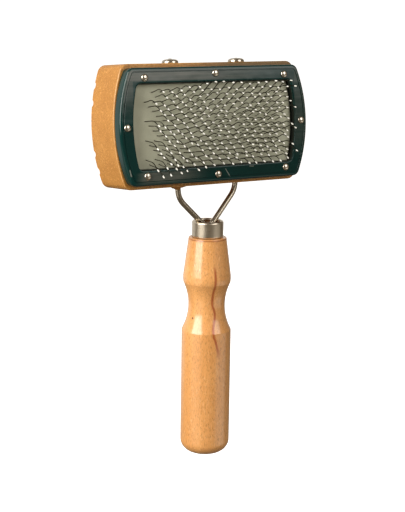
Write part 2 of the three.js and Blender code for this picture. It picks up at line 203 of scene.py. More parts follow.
def piece(name, vertices, faces, materials, slot, replaces=(), leaning=False, sharp_over=40):
    """A new piece from millimetre vertices. Edges sharper than sharp_over degrees stay crisp."""
    place = head_to_row if leaning else Matrix.Identity(4)
    mesh = bpy.data.meshes.new(name)
    mesh.from_pydata([place @ Vector(v) * MM for v in vertices], [], faces)
    build = bmesh.new()
    build.from_mesh(mesh)
    bmesh.ops.recalc_face_normals(build, faces=build.faces)
    for edge in build.edges:
        if len(edge.link_faces) == 2 and edge.calc_face_angle() > math.radians(sharp_over):
            edge.smooth = False
    for face in build.faces:
        face.smooth = True
    build.to_mesh(mesh)
    build.free()
    made = bpy.data.objects.new(name, mesh)
    bpy.context.scene.collection.objects.link(made)
    for material in materials:
        mesh.materials.append(material)
    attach(made, "root")
    if replaces:
        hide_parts(*replaces)
    return made


def lathe(profile, sides, closed=False):
    """(vertices, faces) of [radius, height] points turned round Z. A radius of 0 is a pole."""
    vertices, faces, rings = [], [], []
    for radius, height in profile:
        start = len(vertices)
        if radius == 0:
            vertices.append((0, 0, height))
            rings.append([start] * sides)
            continue
        for k in range(sides):
            angle = 2 * math.pi * k / sides
            vertices.append((radius * math.cos(angle), radius * math.sin(angle), height))
        rings.append(list(range(start, start + sides)))
    pairs = list(zip(rings, rings[1:]))
    if closed:
        pairs.append((rings[-1], rings[0]))
    for low, high in pairs:
        for k in range(sides):
            corners = (low[k], low[(k + 1) % sides], high[(k + 1) % sides], high[k])
            faces.append(tuple(dict.fromkeys(corners)))
    return vertices, faces


def tube(points, radii, sides, vertices, faces):
    """Adds a closed tube along the points, with a radius at each of them."""
    points = [Vector(p) for p in points]
    ahead = [(b - a).normalized() for a, b in zip(points, points[1:])]
    tangents = [ahead[0]] + [(a + b).normalized() for a, b in zip(ahead, ahead[1:])] + [ahead[-1]]
    across = tangents[0].orthogonal().normalized()
    first = len(vertices)
    for i, (point, tangent, radius) in enumerate(zip(points, tangents, radii)):
        if i:
            across = tangents[i - 1].rotation_difference(tangent) @ across
        other = tangent.cross(across)
        for k in range(sides):
            angle = 2 * math.pi * k / sides
            offset = across * math.cos(angle) + other * math.sin(angle)
            vertices.append(point + offset * radius)
    for ring in range(len(points) - 1):
        for k in range(sides):
            a = first + ring * sides + k
            b = first + ring * sides + (k + 1) % sides
            faces.append((a, b, b + sides, a + sides))
    last = first + (len(points) - 1) * sides
    faces.append(tuple(range(first + sides - 1, first - 1, -1)))
    faces.append(tuple(range(last, last + sides)))


def rounded_line(corners, bends, bend_steps):
    """A line through corners, in which each inner corner becomes a bend that starts that far from it."""
    corners = [Vector(c) for c in corners]
    line = [corners[0]]
    for before, corner, after, bend in zip(corners, corners[1:], corners[2:], bends):
        start = corner + (before - corner).normalized() * bend
        end = corner + (after - corner).normalized() * bend
        for t in steps(0, 1, bend_steps):
            line.append(start.lerp(corner, t).lerp(corner.lerp(end, t), t))
    line.append(corners[-1])
    return line


class BowedOutline:
    """A rectangle with round corners whose short ends bow outwards, in X and Z."""

    CORNER_STEPS = 10
    BOW_STEPS = 110
    COLUMNS = 150

    def __init__(self, width, height, sag, corner):
        half = height / 2
        bow = (half * half + sag * sag) / (2 * sag)
        bow_centre = width / 2 - bow
        corner_z = half - corner
        corner_x = bow_centre + math.sqrt((bow - corner) ** 2 - corner_z**2)
        swing = math.atan2(corner_z, corner_x - bow_centre)
        self.side = [
            (corner_x, -corner_z, corner, a)
            for a in steps(-math.pi / 2, -swing, self.CORNER_STEPS)
        ]
        self.side += [(bow_centre, 0, bow, a) for a in steps(-swing, swing, self.BOW_STEPS)[1:-1]]
        self.side += [
            (corner_x, corner_z, corner, a) for a in steps(swing, math.pi / 2, self.CORNER_STEPS)
        ]

    def right(self, inset):
        """The right-hand end from bottom to top, moved inwards by inset."""
        return [
            (x + (radius - inset) * math.cos(a), z + (radius - inset) * math.sin(a))
            for x, z, radius, a in self.side
        ]

    def ring(self, inset):
        """All points: up the right end, back along the top, down the left end, along the bottom."""
        right = self.right(inset)
        width_share = [1 - 2 * c / self.COLUMNS for c in range(1, self.COLUMNS)]
        top = [(right[-1][0] * share, right[-1][1]) for share in width_share]
        left = [(-x, z) for x, z in reversed(right)]
        bottom = [(-right[0][0] * share, right[0][1]) for share in width_share]
        return right + top + left + bottom

    def fill(self, inset, y, ring_start, vertices, faces):
        """Closes a ring with a grid whose rows and columns run between opposite ring points."""
        right = self.right(inset)
        rows, columns = len(right), self.COLUMNS
        top_start = ring_start + rows
        left_start = top_start + columns - 1
        bottom_start = left_start + rows
        index = {}
        for row, (x, z) in enumerate(right):
            for column in range(columns + 1):
                if column == columns:
                    index[row, column] = ring_start + row
                elif column == 0:
                    index[row, column] = left_start + rows - 1 - row
                elif row == 0:
                    index[row, column] = bottom_start + column - 1
                elif row == rows - 1:
                    index[row, column] = top_start + columns - 1 - column
                else:
                    index[row, column] = len(vertices)
                    vertices.append((x * (2 * column / columns - 1), y, z))
        for row in range(rows - 1):
            for column in range(columns):
                faces.append((
                    index[row, column],
                    index[row, column + 1],
                    index[row + 1, column + 1],
                    index[row + 1, column],
                ))


def shell(rings, filled, shape=None):
    """(vertices, faces) of a closed piece through rings of (outline, inset, y), from front to back.
    A filled one is closed by a grid at each end, and one that isn't goes back to its first ring."""
    vertices, faces, starts = [], [], []
    for outline, inset, y in rings:
        starts.append(len(vertices))
        vertices += [(x, y, z) for x, z in outline.ring(inset)]
    count = starts[1]
    pairs = list(zip(starts, starts[1:]))
    if not filled:
        pairs.append((starts[-1], starts[0]))
    for a, b in pairs:
        for i in range(count):
            j = (i + 1) % count
            faces.append((a + i, b + i, b + j, a + j))
    if filled:
        for (outline, inset, y), start in ((rings[0], starts[0]), (rings[-1], starts[-1])):
            outline.fill(inset, y, start, vertices, faces)
    if shape:
        vertices = [shape(*v) for v in vertices]
    return vertices, faces


def rounded_edge(outline, radius, y, towards, count=6):
    """Rings round an edge, from the side of the piece to its face at y, which lies `towards` -1 or +1."""
    angles = steps(0, math.pi / 2, count)
    return [
        (outline, radius * (1 - math.cos(a)), y - towards * radius * (1 - math.sin(a)))
        for a in angles
    ]


# ---------------------------------------------------------------- material tools

class Paint:
    """One procedural material. Positions are in millimetres, along the row's axes."""

    def __init__(self, name, **shader):
        self.material = bpy.data.materials.new(name)
        self.material.use_nodes = True
        self.tree = self.material.node_tree
        self.shader = self.tree.nodes["Principled BSDF"]
        for socket, value in shader.items():
            self.shader.inputs[socket.replace("_", " ")].default_value = value
        coordinate = self.tree.nodes.new("ShaderNodeTexCoord")
        self.position = self.vector("SCALE", coordinate.outputs["Object"], scale=1000)

    def put(self, socket, value):
        """Sets a node's input to a constant or links it."""
        if isinstance(value, bpy.types.NodeSocket):
            self.tree.links.new(value, socket)
        else:
            socket.default_value = value

    def drive(self, name, value):
        self.put(self.shader.inputs[name], value)

    def math(self, operation, a, b=0.0, c=0.0, clamp=False):
        node = self.tree.nodes.new("ShaderNodeMath")
        node.operation = operation
        node.use_clamp = clamp
        for socket, value in zip(node.inputs, (a, b, c)):
            self.put(socket, value)
        return node.outputs[0]

    def vector(self, operation, a, b=(0, 0, 0), scale=1.0):
        node = self.tree.nodes.new("ShaderNodeVectorMath")
        node.operation = operation
        self.put(node.inputs[0], a)
        if operation == "SCALE":
            self.put(node.inputs["Scale"], scale)
        elif operation != "LENGTH":
            self.put(node.inputs[1], b)
        return node.outputs["Value"] if operation in ("DOT_PRODUCT", "LENGTH") else node.outputs[0]

    def product(self, *factors):
        total = factors[0]
        for factor in factors[1:]:
            total = self.math("MULTIPLY", total, factor)
        return total

    def along(self, axis):
        """The position along one axis (0, 1 or 2) of the row."""
        return self.vector("DOT_PRODUCT", self.position, [float(axis == i) for i in range(3)])

    def along_head(self, axis):
        """The position along one axis (0, 1 or 2) of the head's own frame."""
        direction = Vector(head_to_row.col[axis][:3])
        along = self.vector("DOT_PRODUCT", self.position, tuple(direction))
        return self.math("SUBTRACT", along, direction.dot(head_to_row.translation))

    def noise(self, factors, detail=3, roughness=0.55, distortion=0.0):
        """Noise with so many grains to the millimetre along each axis, long where a factor is small."""
        node = self.tree.nodes.new("ShaderNodeTexNoise")
        node.inputs["Scale"].default_value = 1
        node.inputs["Detail"].default_value = detail
        node.inputs["Roughness"].default_value = roughness
        node.inputs["Distortion"].default_value = distortion
        self.put(node.inputs["Vector"], self.vector("MULTIPLY", self.position, factors))
        return node.outputs["Fac"]

    def between(self, value, low, high):
        """0 below low, 1 above high and smooth between them. low may be the larger one."""
        node = self.tree.nodes.new("ShaderNodeMapRange")
        node.interpolation_type = "SMOOTHSTEP"
        for name, end in (("From Min", low), ("From Max", high)):
            node.inputs[name].default_value = end
        self.put(node.inputs["Value"], value)
        return node.outputs["Result"]

    def spread(self, value, low, high):
        """A value around 0.5 stretched to run from low to high."""
        node = self.tree.nodes.new("ShaderNodeMapRange")
        node.inputs["From Min"].default_value = 0.25
        node.inputs["From Max"].default_value = 0.75
        node.inputs["To Min"].default_value = low
        node.inputs["To Max"].default_value = high
        self.put(node.inputs["Value"], value)
        return node.outputs["Result"]

    def mix(self, factor, a, b):
        """Colour a where the factor is 0 and colour b where it is 1."""
        node = self.tree.nodes.new("ShaderNodeMix")
        node.data_type = "RGBA"
        self.put(node.inputs["Factor"], factor)
        first, second = [socket for socket in node.inputs if socket.type == "RGBA"]
        self.put(first, a)
        self.put(second, b)
        return [socket for socket in node.outputs if socket.type == "RGBA"][0]

    def bump(self, height, distance, strength):
        """A normal that follows a relief distance millimetres deep."""
        node = self.tree.nodes.new("ShaderNodeBump")
        node.inputs["Distance"].default_value = distance * MM
        node.inputs["Strength"].default_value = strength
        self.put(node.inputs["Height"], height)
        return node.outputs["Normal"]

    def stroke(self, start, end, width):
        """1 along the straight stroke between two points and 0 further away than width."""
        start, end = Vector(start), Vector(end)
        along = end - start
        offset = self.vector("SUBTRACT", self.position, tuple(start))
        share = self.math(
            "DIVIDE", self.vector("DOT_PRODUCT", offset, tuple(along)), along.length_squared, clamp=True
        )
        nearest = self.vector("SCALE", tuple(along), scale=share)
        distance = self.vector("LENGTH", self.vector("SUBTRACT", offset, nearest))
        return self.between(distance, width, width / 2)


def rgb(red, green, blue):
    return (red, green, blue, 1)


# ---------------------------------------------------------------- materials

DARK_DOT = (-10.9, -2.9, 82.3)
STREAK_LOW = 58
STREAK_HIGH = 115
STREAK_REACH = 6        # how far across the streak wanders
STREAK_FACES = math.radians(-100)
STREAK_PATH = (         # (share of its height, share of its reach)
    (0, 0.98), (0.06, 0.9), (0.22, 0.53), (0.29, 0.35), (0.47, 0.65), (0.6, 0.38), (0.88, 0.5), (1, 0.25)
)


def handle_wood():
    """Orange-tan wood with fine flecks along the handle under a clear glossy lacquer, with a dark streak,
    a dark dot and a reddish line round the shoulder."""
    p = Paint("lacquered_wood", Roughness=0.36, Coat_Weight=1.0, Coat_Roughness=0.07, Coat_IOR=1.5)
    clouds = p.noise((0.05, 0.05, 0.02), detail=4)
    bands = p.noise((0.5, 0.22, 0.012), detail=3, distortion=0.4)
    flecks = p.noise((2.4, 2.4, 0.5), detail=4, roughness=0.7)
    colour = p.mix(p.between(clouds, 0.3, 0.7), rgb(0.81, 0.385, 0.118), rgb(0.93, 0.475, 0.165))
    colour = p.mix(p.spread(bands, 0.0, 0.42), colour, rgb(0.62, 0.255, 0.07))
    colour = p.mix(p.between(flecks, 0.5, 0.66), colour, rgb(0.52, 0.215, 0.06))
    pale = p.between(p.noise((1.5, 1.5, 0.3), detail=3, roughness=0.65), 0.55, 0.75)
    colour = p.mix(p.product(pale, 0.6), colour, rgb(1.0, 0.68, 0.36))
    pores = p.between(p.noise((5.5, 5.5, 0.8), detail=2), 0.6, 0.68)
    colour = p.mix(p.product(pores, 0.4), colour, rgb(0.56, 0.19, 0.055))
    colour = p.mix(dark_streak(p), colour, rgb(0.40, 0.07, 0.012))
    from_dot = p.vector("LENGTH", p.vector("SUBTRACT", p.position, DARK_DOT))
    colour = p.mix(p.between(from_dot, 0.8, 0.4), colour, rgb(0.16, 0.06, 0.025))
    from_line = p.math("ABSOLUTE", p.math("SUBTRACT", p.along(2), SHOULDER_TOP - 0.75))
    colour = p.mix(p.product(p.between(from_line, 0.65, 0.2), 0.8), colour, rgb(0.42, 0.135, 0.035))
    p.drive("Base Color", colour)
    relief = p.math("ADD", p.product(flecks, 0.5), p.noise((0.35, 0.35, 0.2), detail=2))
    p.drive("Normal", p.bump(relief, 0.05, 0.35))
    ripples = p.math("ADD", p.noise((0.22, 0.22, 0.12), detail=3), p.noise((1.3, 1.3, 0.7), detail=2))
    p.drive("Coat Normal", p.bump(ripples, 0.06, 0.5))
    return p.material


def dark_streak(paint):
    """A thin dark mark in the grain that wanders down the front of the handle."""
    outwards = (math.cos(STREAK_FACES), math.sin(STREAK_FACES), 0)
    sideways = (-math.sin(STREAK_FACES), math.cos(STREAK_FACES), 0)
    height = paint.along(2)
    wander = paint.tree.nodes.new("ShaderNodeFloatCurve")
    curve = wander.mapping.curves[0]
    for place, value in STREAK_PATH[1:-1]:
        curve.points.new(place, value)
    curve.points[0].location = STREAK_PATH[0]
    curve.points[-1].location = STREAK_PATH[-1]
    wander.mapping.update()
    above = paint.math("SUBTRACT", height, STREAK_LOW)
    share = paint.math("DIVIDE", above, STREAK_HIGH - STREAK_LOW, clamp=True)
    paint.put(wander.inputs["Value"], share)
    middle = paint.product(paint.math("SUBTRACT", wander.outputs[0], 0.5), STREAK_REACH)
    offset = paint.vector("DOT_PRODUCT", paint.position, sideways)
    distance = paint.math("ABSOLUTE", paint.math("SUBTRACT", offset, middle))
    line = paint.between(distance, 1.25, 0.2)
    lower_end = paint.between(height, STREAK_LOW, STREAK_LOW + 8)
    upper_end = paint.between(height, STREAK_HIGH, STREAK_HIGH - 5)
    front = paint.between(paint.vector("DOT_PRODUCT", paint.position, outwards), 2, 5)
    broken = paint.spread(paint.noise((1, 1, 0.25), detail=2), 0.7, 1.0)
    return paint.product(line, lower_end, upper_end, front, broken)


def block_wood():
    """Satin wood whose grain runs along the block, with a painted highlight along its front edge and
    painted shade on the strip above the frame, darker towards the right."""
    p = Paint("sanded_wood", Roughness=0.5, Coat_Weight=0.12, Coat_Roughness=0.25)
    clouds = p.noise((0.03, 0.08, 0.08), detail=4)
    grain = p.noise((0.03, 0.5, 0.5), detail=4, distortion=0.3)
    flecks = p.noise((0.7, 2.2, 2.2), detail=4, roughness=0.7)
    colour = p.mix(p.between(clouds, 0.3, 0.7), rgb(0.48, 0.205, 0.030), rgb(0.58, 0.262, 0.048))
    colour = p.mix(p.spread(grain, 0.0, 0.45), colour, rgb(0.37, 0.145, 0.020))
    colour = p.mix(p.between(flecks, 0.5, 0.66), colour, rgb(0.29, 0.11, 0.016))
    pale = p.between(p.noise((0.9, 0.9, 0.9), detail=4, roughness=0.7), 0.53, 0.68)
    colour = p.mix(p.product(pale, 0.7), colour, rgb(0.80, 0.42, 0.12))
    behind_face = p.math("SUBTRACT", p.along_head(1), BLOCK_FRONT)
    # Painted highlight: a pale cream line along the rounded front edge, broken up by noise.
    edge = p.product(p.between(behind_face, 0.1, 0.3), p.between(behind_face, 0.9, 0.6))
    edge_highlight_noise = p.spread(p.noise((0.4, 0.4, 0.4), detail=3), 0.0, 0.5)
    colour = p.mix(p.product(edge, edge_highlight_noise), colour, rgb(0.95, 0.62, 0.30))
    # Painted shade: the strip of the front face above the frame darkens towards the right.
    top = BLOCK_HEIGHT / 2
    strip = p.product(p.between(behind_face, 1.2, 0.5), p.between(p.along_head(2), top - 6, top - 3))
    strip_shade = p.spread(p.between(p.along_head(0), -50, 45), 0.15, 0.85)
    colour = p.mix(p.product(strip, strip_shade), colour, rgb(0.13, 0.075, 0.02))
    p.drive("Base Color", colour)
    p.drive("Roughness", p.spread(flecks, 0.42, 0.6))
    p.drive("Normal", p.bump(p.math("ADD", grain, flecks), 0.08, 0.5))
    return p.material


def green_plastic():
    """Very dark green glossy moulding with a painted grey reflection in streaks, fine scuffs, a nick and two
    scratches. Its inner wall, where it meets the rubber, is painted nearly black as shade."""
    p = Paint("green_plastic", Roughness=0.08, IOR=1.45)
    tone = p.noise((0.05, 0.05, 0.05), detail=3)
    dust = p.between(p.noise((3.0, 3.0, 3.0), detail=2), 0.66, 0.74)
    colour = p.mix(tone, rgb(0.0003, 0.021, 0.019), rgb(0.0006, 0.035, 0.032))
    # Painted reflection: grey lengthwise streaks where the glossy face would mirror a light.
    colour = p.mix(painted_reflection(p), colour, rgb(0.115, 0.122, 0.105))
    colour = p.mix(p.product(dust, 0.2), colour, rgb(0.16, 0.21, 0.19))
    for start, end, width, strength in FRAME_MARKS:
        mark = p.stroke(on_frame(*start), on_frame(*end), width)
        colour = p.mix(p.product(mark, strength), colour, rgb(0.45, 0.47, 0.42))
    # Painted shade: the opening's inner wall behind the lip is darkened nearly to black.
    across, up = OPENING_WIDTH / 2 + 1, OPENING_HEIGHT / 2 + 1.4
    within_ends = p.between(p.math("ABSOLUTE", p.along_head(0)), across + 0.6, across)
    within_bars = p.between(p.math("ABSOLUTE", p.along_head(2)), up + 0.6, up)
    behind_lip = p.between(p.along_head(1), FRAME_FRONT + 0.9, FRAME_FRONT + 1.8)
    wall_shade = p.product(within_ends, behind_lip, within_bars)
    colour = p.mix(wall_shade, colour, rgb(0.0005, 0.004, 0.0035))
    p.drive("Base Color", colour)
    scuffs = p.noise((0.35, 1.4, 1.4), detail=5, roughness=0.7)
    p.drive("Roughness", p.spread(scuffs, 0.055, 0.13))
    p.drive("Normal", p.bump(p.noise((0.06, 0.06, 0.09), detail=2), 0.3, 0.4))
    return p.material


FRAME_MARKS = (         # (start, end, width, strength) of the nick and the scratches
    ((-55.7, -22.6), (-54.9, -25.8), 0.45, 0.4),
    ((4.5, -25.2), (7.4, -29.6), 0.35, 0.35),
    ((20.6, -24.6), (23.2, -24.7), 0.4, 0.25),
)


def painted_reflection(p):
    """A painted grey reflection in lengthwise streaks: on the top bar, the left half of the bottom bar, the
    upper part of the left end and the upper two thirds of the right end."""
    x, y, z = (p.along_head(axis) for axis in range(3))
    bar = OPENING_HEIGHT / 2
    end = OPENING_WIDTH / 2 - OPENING_SAG / 2
    outer = FRAME_HEIGHT / 2
    across_top = p.product(p.between(z, bar + 0.6, bar + 2), p.between(z, outer - 0.9, outer - 2.6))
    across_bottom = p.product(
        p.between(z, -bar - 0.4, -bar - 1.6), p.between(z, -outer + 0.9, -outer + 2.6)
    )
    top = p.product(across_top, p.between(x, 44, -14))
    left = p.product(p.between(x, -end - 0.6, -end - 1.8), p.between(z, 2, 24), 0.6)
    bottom = p.product(across_bottom, p.between(x, -4, -30), p.between(x, -53, -45))
    right = p.product(p.between(x, end + 0.6, end + 2), p.between(z, -24, -8), 0.36)
    reflection_mask = p.math("MAXIMUM", p.math("MAXIMUM", top, left), p.math("MAXIMUM", bottom, right))
    face = p.between(y, FRAME_FRONT + 0.5, FRAME_FRONT + 0.1)
    streaks = p.spread(p.noise((0.02, 0.9, 0.9), detail=4, roughness=0.65), 0.45, 1.15)
    clouds = p.spread(p.noise((0.05, 0.12, 0.12), detail=3), 0.7, 1.15)
    return p.math("MULTIPLY", p.product(reflection_mask, face, streaks), clouds, clamp=True)


def on_frame(x, z):
    """A point of the frame's front face, in the row's millimetres."""
    return head_to_row @ Vector((x, FRAME_FRONT, z))


def pad_rubber():
    """Matt grey-beige rubber, slightly mottled, with painted shade: a dark line along its edge next to the
    frame.
    """
    p = Paint("pad_rubber", Roughness=0.62, Specular_IOR_Level=0.35)
    clouds = p.noise((0.08, 0.08, 0.08), detail=4)
    grains = p.noise((1.6, 1.6, 1.6), detail=4, roughness=0.75)
    colour = p.mix(p.between(clouds, 0.3, 0.7), rgb(0.50, 0.51, 0.385), rgb(0.60, 0.61, 0.47))
    colour = p.mix(p.spread(grains, 0.0, 0.3), colour, rgb(0.36, 0.37, 0.28))
    x, z = p.along_head(0), p.along_head(2)
    bow = p.product(z, z, OPENING_SAG / (OPENING_HEIGHT / 2) ** 2)
    from_end = p.math("SUBTRACT", OPENING_WIDTH / 2, p.math("ADD", p.math("ABSOLUTE", x), bow))
    from_side = p.math("SUBTRACT", OPENING_HEIGHT / 2, p.math("ABSOLUTE", z))
    from_frame = p.math("MINIMUM", from_end, from_side)
    # Painted shade: the rubber darkens to a dark line within a millimetre of the frame's opening.
    colour = p.mix(p.between(from_frame, 1.0, 0.2), colour, rgb(0.012, 0.014, 0.010))
    p.drive("Base Color", colour)
    p.drive("Roughness", p.spread(grains, 0.55, 0.72))
    p.drive("Normal", p.bump(grains, 0.06, 0.5))
    return p.material


def cloth(name, thread, gap, per_mm):
    """A plain weave: threads over and under each other, per_mm of them to the millimetre."""
    p = Paint(name, Roughness=0.9, Sheen_Weight=0.3)
    turn = 2 * math.pi * per_mm
    warp = p.math("SINE", p.product(p.along(0), turn))
    weft = p.math("SINE", p.product(p.along(2), turn))
    weave = p.spread(p.math("MULTIPLY_ADD", p.product(warp, weft), 0.5, 0.5), 0.1, 0.9)
    fibres = p.noise((4, 4, 4), detail=3)
    colour = p.mix(weave, rgb(*gap), rgb(*thread))
    colour = p.mix(p.spread(fibres, 0.0, 0.25), colour, rgb(*gap))
    p.drive("Base Color", colour)
    p.drive("Normal", p.bump(weave, 0.1, 0.6))
    return p.material


def felt():
    """Grey pressed wool, all loose fibres."""
    p = Paint("grey_felt", Roughness=0.95, Sheen_Weight=0.5)
    fibres = p.noise((1.2, 1.2, 1.2), detail=6, roughness=0.8, distortion=1.5)
    clumps = p.noise((0.15, 0.15, 0.15), detail=3)
    colour = p.mix(p.between(fibres, 0.35, 0.65), rgb(0.13, 0.125, 0.11), rgb(0.26, 0.25, 0.225))
    colour = p.mix(p.spread(clumps, 0.0, 0.2), colour, rgb(0.35, 0.33, 0.29))
    p.drive("Base Color", colour)
    p.drive("Normal", p.bump(fibres, 0.25, 0.8))
    return p.material


def nickel(name, colour, low, high, brushed, metallic=1.0):
    """Plated steel: roughness between low and high, fine scratches and a trace of tarnish."""
    p = Paint(name, Metallic=metallic)
    tarnish = p.noise((0.2, 0.2, 0.2), detail=3)
    scratches = p.noise(brushed, detail=5, roughness=0.7)
    darker = tuple(0.78 * c for c in colour)
    shade = p.mix(p.between(tarnish, 0.45, 0.75), rgb(*colour), rgb(*darker))
    p.drive("Base Color", shade)
    p.drive("Roughness", p.spread(scratches, low, high))
    p.drive("Normal", p.bump(scratches, 0.01, 0.25))
    return p.material


# ---------------------------------------------------------------- camera, light and floor

def camera():
    """From the left, a little above, and turned very slightly on its own axis."""
    target = Vector((-3.2, 0, 117.45)) * MM
    azimuth, elevation = math.radians(-31), math.radians(11.87)
    distance, roll = 0.72875, math.radians(0.84)
    outwards = Vector((
        math.sin(azimuth) * math.cos(elevation),
        -math.cos(azimuth) * math.cos(elevation),
        math.sin(elevation),
    ))
    data = bpy.data.cameras.new("camera")
    data.sensor_fit = "VERTICAL"
    data.sensor_height = 24
    data.lens = 59.75
    data.clip_start = 0.01
    data.clip_end = 2000
    made = bpy.data.objects.new("camera", data)
    turn = outwards.to_track_quat("Z", "Y").to_matrix().to_4x4() @ Matrix.Rotation(roll, 4, "Z")
    made.matrix_world = Matrix.Translation(target + outwards * distance) @ turn
    bpy.context.scene.collection.objects.link(made)
    bpy.context.scene.camera = made


LIGHTS_ROUND = (0, 0, 140)
LIGHTS_AWAY = 1500


def softbox(name, azimuth, elevation, radiance, colour, soft):
    """A rectangular light that covers these ranges of degrees round the brush. It fades towards its
    edges over the share `soft` of its width and height."""
    distance = LIGHTS_AWAY * MM
    middle = [math.radians(sum(pair) / 2) for pair in (azimuth, elevation)]
    half = [math.radians((pair[1] - pair[0]) / 2) for pair in (azimuth, elevation)]
    outwards = Vector((
        math.sin(middle[0]) * math.cos(middle[1]),
        -math.cos(middle[0]) * math.cos(middle[1]),
        math.sin(middle[1]),
    ))
    data = bpy.data.lights.new(name, "AREA")
    data.shape = "RECTANGLE"
    data.size = 2 * distance * math.tan(half[0]) * math.cos(middle[1])
    data.size_y = 2 * distance * math.tan(half[1])
    data.energy = radiance * math.pi * data.size * data.size_y
    data.color = colour
    data.use_nodes = True
    nodes, links = data.node_tree.nodes, data.node_tree.links
    emission = next(node for node in nodes if node.type == "EMISSION")
    place = nodes.new("ShaderNodeSeparateXYZ")
    links.new(nodes.new("ShaderNodeNewGeometry").outputs["Parametric"], place.inputs[0])
    fades = []
    for axis in ("X", "Y"):
        from_edge = nodes.new("ShaderNodeMath")
        from_edge.operation = "PINGPONG"
        from_edge.inputs[1].default_value = 0.5
        links.new(place.outputs[axis], from_edge.inputs[0])
        fade = nodes.new("ShaderNodeMapRange")
        fade.interpolation_type = "SMOOTHSTEP"
        fade.inputs["From Max"].default_value = soft
        links.new(from_edge.outputs[0], fade.inputs["Value"])
        fades.append(fade.outputs["Result"])
    both = nodes.new("ShaderNodeMath")
    both.operation = "MULTIPLY"
    links.new(fades[0], both.inputs[0])
    links.new(fades[1], both.inputs[1])
    links.new(both.outputs[0], emission.inputs["Strength"])
    made = bpy.data.objects.new(name, data)
    turn = outwards.to_track_quat("Z", "Y").to_matrix().to_4x4()
    made.matrix_world = Matrix.Translation(Vector(LIGHTS_ROUND) * MM + outwards * distance) @ turn
    made.visible_camera = False
    bpy.context.scene.collection.objects.link(made)


def lights():
    """Two tall softboxes, the light that the table throws back, and the backdrop."""
    softbox("key_left", (-107, -54), (-3, 50), 7.2, (1, 0.97, 0.92), 0.12)
    softbox("window_right", (2, 46), (4.5, 48), 2.8, (1, 0.97, 0.93), 0.12)
    softbox("table_left", (-110, -46), (-34, -8), 0.7, (1, 0.95, 0.86), 0.3)
    softbox("table_right", (10, 80), (-36, -12), 0.9, (1, 0.95, 0.86), 0.3)
    softbox("backdrop", (112, 232), (-28, 52), 0.5, (1, 0.99, 0.97), 0.15)


def world():
    """White where the camera looks past the floor; a dim warm room for everything else."""
    made = bpy.data.worlds.new("studio")
    made.use_nodes = True
    nodes, links = made.node_tree.nodes, made.node_tree.links
    output = nodes["World Output"]
    room = nodes["Background"]
    room.inputs["Color"].default_value = rgb(0.16, 0.135, 0.10)
    white = nodes.new("ShaderNodeBackground")
    white.inputs["Color"].default_value = rgb(1, 1, 1)
    path = nodes.new("ShaderNodeLightPath")
    mix = nodes.new("ShaderNodeMixShader")
    links.new(path.outputs["Is Camera Ray"], mix.inputs[0])
    links.new(room.outputs[0], mix.inputs[1])
    links.new(white.outputs[0], mix.inputs[2])
    links.new(mix.outputs[0], output.inputs["Surface"])
    bpy.context.scene.world = made


def floor():
    """A plain white floor, lit evenly, well below the brush."""
    reach = 800
    depth = cad_box[0][2] - 0.2
    mesh = bpy.data.meshes.new("floor")
    corners = [(x * reach, y * reach, depth) for x, y in ((-1, -1), (1, -1), (1, 1), (-1, 1))]
    mesh.from_pydata(corners, [], [(0, 1, 2, 3)])
    made = bpy.data.objects.new("floor", mesh)
    p = Paint("white_floor", Roughness=0.8)
    p.drive("Base Color", rgb(0.9, 0.9, 0.9))
    p.drive("Emission Color", rgb(1, 1, 1))
    p.drive("Emission Strength", 1.0)
    mesh.materials.append(p.material)
    made.visible_diffuse = False
    made.visible_glossy = False
    bpy.context.scene.collection.objects.link(made)


# ---------------------------------------------------------------- handle and ferrule

def handle(material):
    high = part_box("handle")[1]
    grip = high.x / MM
    tenon_top = high.z / MM
    butt = [
        (BUTT_FLAT_RADIUS + (grip - BUTT_FLAT_RADIUS) * math.sin(a), BUTT_ROUND_HEIGHT * (1 - math.cos(a)))
        for a in steps(0, math.pi / 2, 22)
    ]
    cove = [
        (COVE_WAIST + COVE_RADIUS - math.sqrt(COVE_RADIUS**2 - (z - COVE_MIDDLE) ** 2), z)
        for z in steps(GRIP_TOP + 0.35, BEAD_START - 0.3, 40)
    ]
    crest_corner = (BEAD_RADIUS + 0.12, 0, BEAD_CREST - 1)
    cove_end = (cove[-1][0], 0, cove[-1][1])
    crest = rounded_line((cove_end, crest_corner, (TAPER_RADIUS, 0, TAPER_START)), (2.4,), 8)
    round_x, round_z = SHOULDER_RADIUS - SHOULDER_ROUND, SHOULDER_TOP - SHOULDER_ROUND
    shoulder = [
        (round_x + SHOULDER_ROUND * math.cos(a), round_z + SHOULDER_ROUND * math.sin(a))
        for a in steps(0.1, math.pi / 2, 8)
    ]
    counterbore = tenon_top - COUNTERBORE_DEPTH
    profile = [(0, 0), (BUTT_FLAT_RADIUS * 0.5, 0), *butt]
    profile += [(grip, z) for z in steps(BUTT_ROUND_HEIGHT + 2, GRIP_TOP - 0.5, 24)]
    profile += [(grip, GRIP_TOP - 0.25), (grip - 0.03, GRIP_TOP)]
    profile += cove
    profile += [(p.x, p.z) for p in crest[1:]]
    profile += [
        (TAPER_RADIUS + (SHOULDER_RADIUS - TAPER_RADIUS) * t, TAPER_START + (TAPER_END - TAPER_START) * t)
        for t in steps(0.05, 0.98, 12)
    ]
    profile += shoulder
    profile += [
        (TENON_RADIUS, SHOULDER_TOP),
        (TENON_RADIUS, tenon_top),
        (COUNTERBORE_RADIUS, tenon_top),
        (COUNTERBORE_RADIUS - 0.4, counterbore + 1),
        (COUNTERBORE_RADIUS - 1.4, counterbore),
        (0, counterbore),
    ]
    piece("turned_handle", *lathe(profile, 128), [material], "handle_wood", ["handle"], sharp_over=50)


